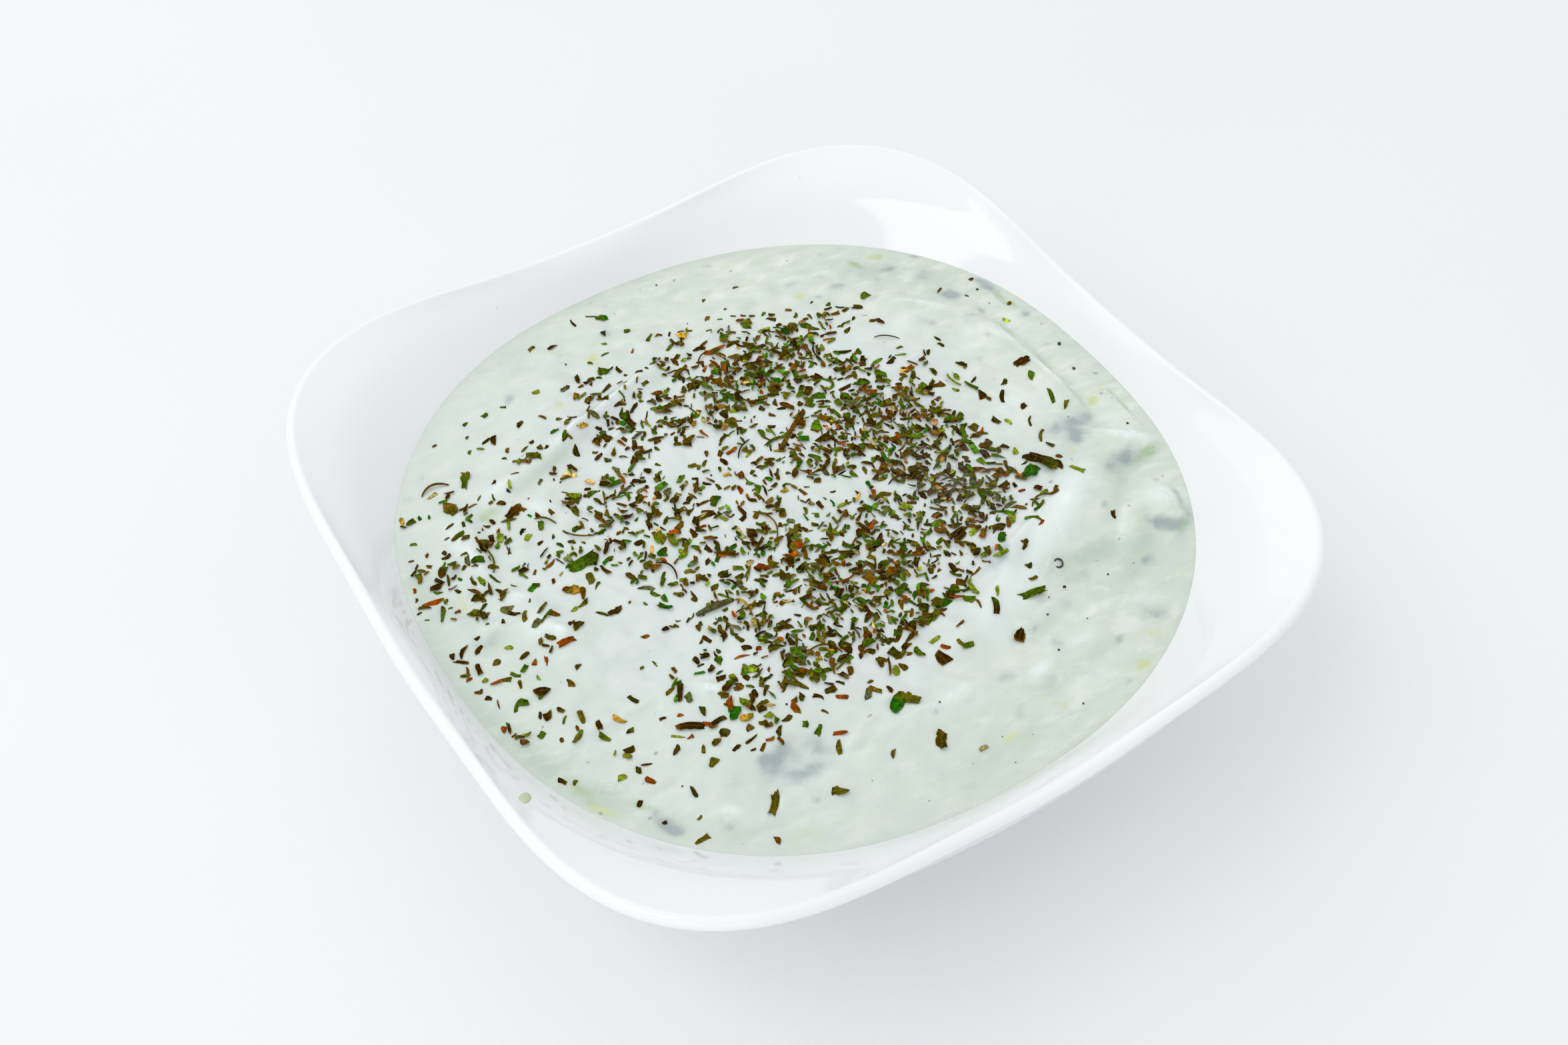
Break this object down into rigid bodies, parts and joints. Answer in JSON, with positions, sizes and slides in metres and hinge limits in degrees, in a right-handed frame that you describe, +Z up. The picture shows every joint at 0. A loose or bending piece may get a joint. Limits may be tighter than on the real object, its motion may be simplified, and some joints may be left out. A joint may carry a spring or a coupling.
{
  "type": "tzatziki dip in a square dish",
  "caption": "Yoghurt and cucumber dip strewn with dried herbs, filling a square white porcelain dish with raised rounded corners and a foot ring.",
  "frame": {"origin": "middle of the dish on the surface that it stands on, under the centre of the foot ring", "axes": "+Z up; +X and +Y out through the middles of two flat sides of the dish, so that the corners lie between the axes"},
  "size_m": [0.125, 0.125, 0.042],
  "materials": {
    "white_porcelain": "clear gloss glaze over cool white porcelain",
    "yoghurt_dip": "moist satin cream, pale green white, slightly translucent",
    "dried_herbs": "dull crumbled leaf, olive, brown and green"
  },
  "bodies": {
    "root": {"bowl": "white_porcelain", "dip": "yoghurt_dip"}
  },
  "joints": []
}
